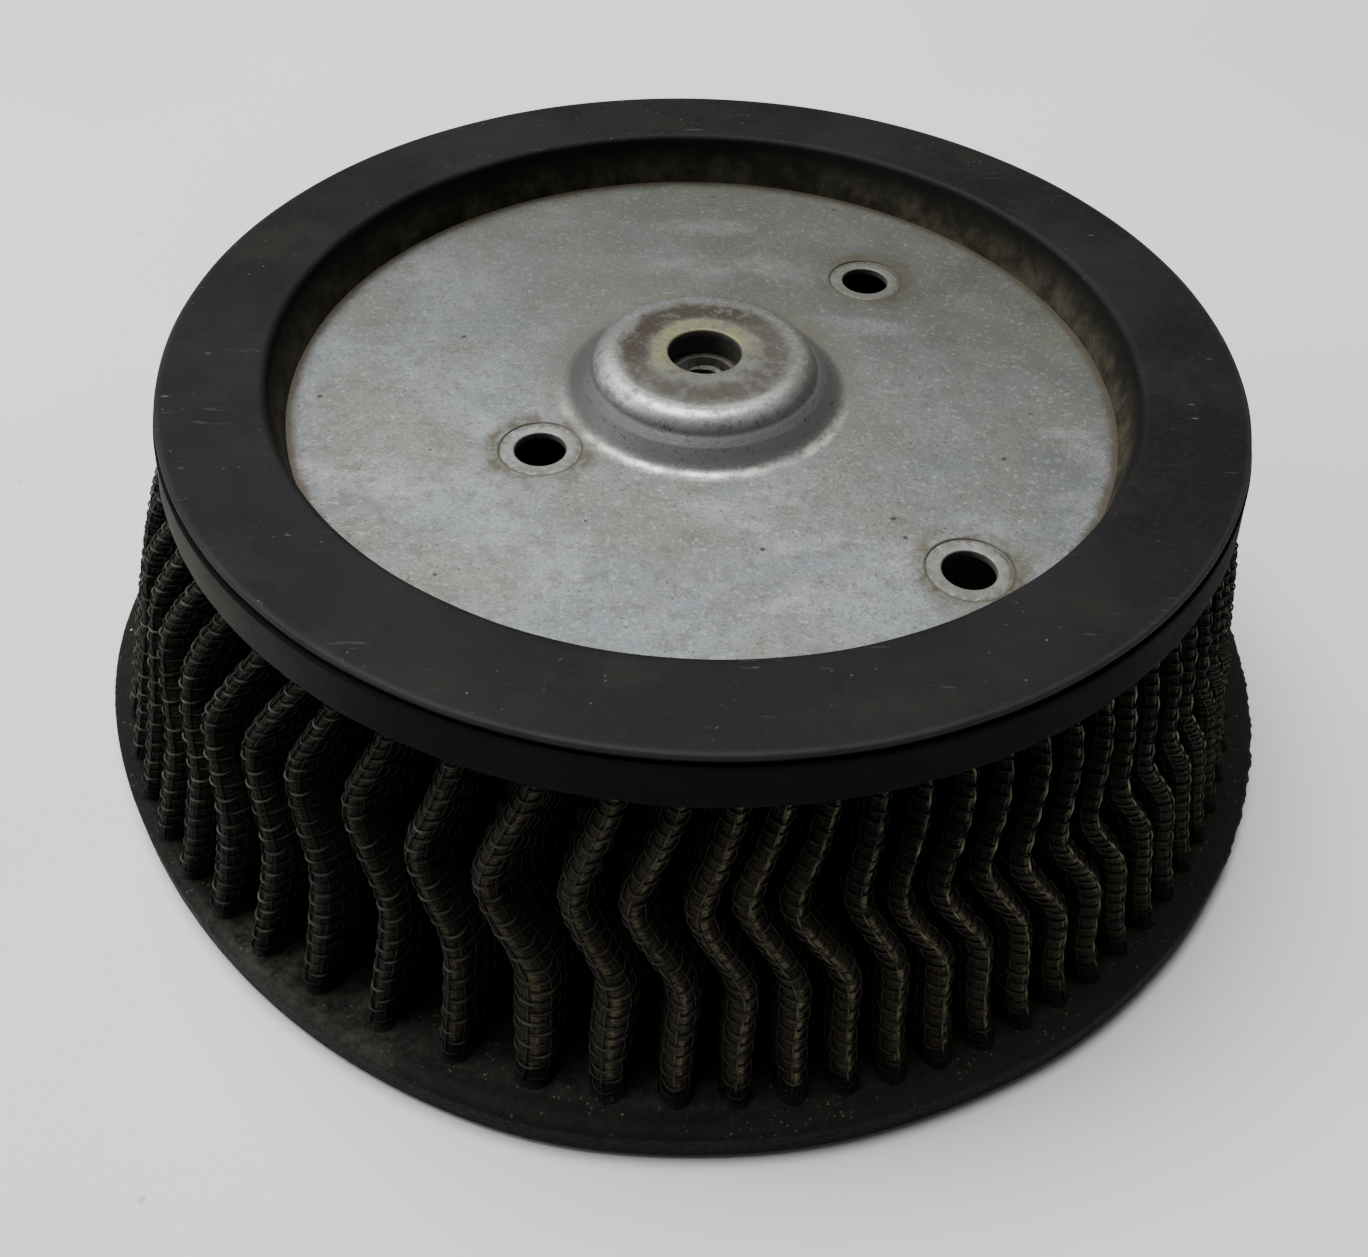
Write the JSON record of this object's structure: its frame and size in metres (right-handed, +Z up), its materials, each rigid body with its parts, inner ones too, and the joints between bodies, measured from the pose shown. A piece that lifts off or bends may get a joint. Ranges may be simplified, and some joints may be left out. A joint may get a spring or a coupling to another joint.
{
  "type": "air filter",
  "caption": "Round tapered pleated air filter element with rubber end rings and a stamped hub plate, for a motorcycle intake.",
  "frame": {"origin": "centre of the base ring's underside", "axes": "+Z up through the hub, from the base ring to the stamped plate; -Y is the side seen in front"},
  "size_m": [0.182, 0.182, 0.06],
  "materials": {
    "moulded_rubber": "satin, dusty, scuffed along the edge",
    "base_rubber": "matte, with dust and grit on its rim",
    "zinc_plated_sheet": "dull zinc plating with stains round the holes",
    "nut_steel": "plated, satin",
    "woven_wire": "thin drawn wire, dulled by oil",
    "oiled_gauze": "oily open cotton weave, dark with dirt",
    "clip_strip": "folded strip, dull"
  },
  "bodies": {
    "root": {"top_ring": "moulded_rubber", "end_plate": "zinc_plated_sheet", "hub_nut": "nut_steel", "outer_screen": "woven_wire", "gauze_outer_ply": "oiled_gauze", "gauze_middle_ply": "oiled_gauze", "gauze_inner_ply": "oiled_gauze", "inner_screen": "woven_wire", "seam_clip": "clip_strip", "base_ring": "base_rubber"}
  },
  "joints": []
}
